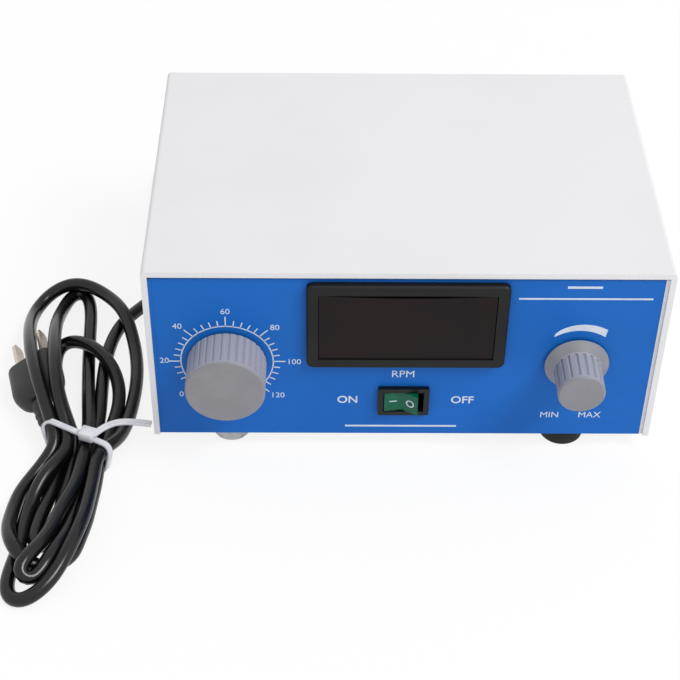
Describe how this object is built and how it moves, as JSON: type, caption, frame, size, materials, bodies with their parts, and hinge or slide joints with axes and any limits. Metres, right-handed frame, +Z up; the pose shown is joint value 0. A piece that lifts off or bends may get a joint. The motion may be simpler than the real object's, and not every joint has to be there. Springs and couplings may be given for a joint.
{
  "type": "overhead stirrer control unit",
  "caption": "Bench control unit of an overhead stirrer: steel case, blue front with timer knob, speed display, rocker switch and speed knob, mains lead tied in a hank.",
  "frame": {"origin": "centre of the unit's footprint, knobs and strain relief included and the cord left out, on the surface that its feet stand on", "axes": "+X to the right seen from the front, +Y from the front to the back, +Z up"},
  "size_m": [0.2743, 0.2968, 0.0945],
  "materials": {
    "white_paint": "satin powder coat",
    "front_print": "semi-gloss screen print",
    "bezel_black": "fine moulded texture",
    "window_red": "polished dark red filter",
    "board_green": "solder resist",
    "digit_black": "matt",
    "zinc": "bright zinc plate",
    "knob_grey": "satin moulded",
    "pot_metal": "passivated",
    "switch_black": "semi-gloss",
    "rocker_green": "clear tinted",
    "brass": "plain",
    "core_steel": "varnished laminations",
    "sink_aluminium": "extruded",
    "capacitor_sleeve": "shrink sleeve",
    "terminal_green": "moulded",
    "holder_black": "moulded",
    "nickel": "nickel plate",
    "rubber_black": "matt",
    "glide_steel": "polished",
    "cord_black": "satin extruded sheath",
    "tie_nylon": "natural nylon",
    "plug_black": "moulded satin"
  },
  "bodies": {
    "case": {"cover": "white_paint", "tray": "white_paint", "front_label": "front_print", "cover_screws": "zinc", "display_bezel": "bezel_black", "display_window": "window_red", "display_board": "board_green", "display_digits": "digit_black", "timer_movement": "zinc", "timer_nut": "zinc", "speed_pot": "pot_metal", "pot_washer": "zinc", "pot_nut": "zinc", "switch_housing": "switch_black", "switch_terminals": "brass", "control_board": "board_green", "board_standoffs": "brass", "board_screws": "zinc", "transformer": "core_steel", "heat_sink": "sink_aluminium", "triac": "digit_black", "capacitors": "capacitor_sleeve", "terminal_block": "terminal_green", "fuse_holder": "holder_black", "fuse_nut": "holder_black", "motor_socket": "nickel", "socket_insert": "holder_black", "socket_nut": "nickel", "strain_relief": "plug_black", "rubber_feet": "rubber_black", "steel_foot": "glide_steel", "foot_screws": "zinc", "mains_cord": "cord_black", "cord_hank": "cord_black", "cable_tie": "tie_nylon", "plug_body": "plug_black", "plug_pins": "nickel"},
    "timer": {"timer_knob": "knob_grey", "timer_spindle": "zinc"},
    "speed": {"speed_knob": "knob_grey", "pot_spindle": "zinc"},
    "rocker": {"switch_rocker": "rocker_green"},
    "fuse": {"fuse_cap": "holder_black", "fuse_link": "nickel"}
  },
  "joints": [
    {"name": "timer_turn", "type": "hinge", "parent": "case", "child": "timer", "pos_m": [-0.071, -0.076, 0.0485], "axis": [0, 1, 0], "range_deg": [0, 270]},
    {"name": "speed_turn", "type": "hinge", "parent": "case", "child": "speed", "pos_m": [0.0685, -0.076, 0.0485], "axis": [0, 1, 0], "range_deg": [0, 300]},
    {"name": "rocker_tilt", "type": "hinge", "parent": "case", "child": "rocker", "pos_m": [0, -0.074, 0.028], "axis": [0, 0, 1], "range_deg": [0, 22]},
    {"name": "fuse_cap_turn", "type": "hinge", "parent": "case", "child": "fuse", "pos_m": [-0.038, 0.064, 0.0345], "axis": [0, 1, 0], "range_deg": [0, 90]}
  ]
}
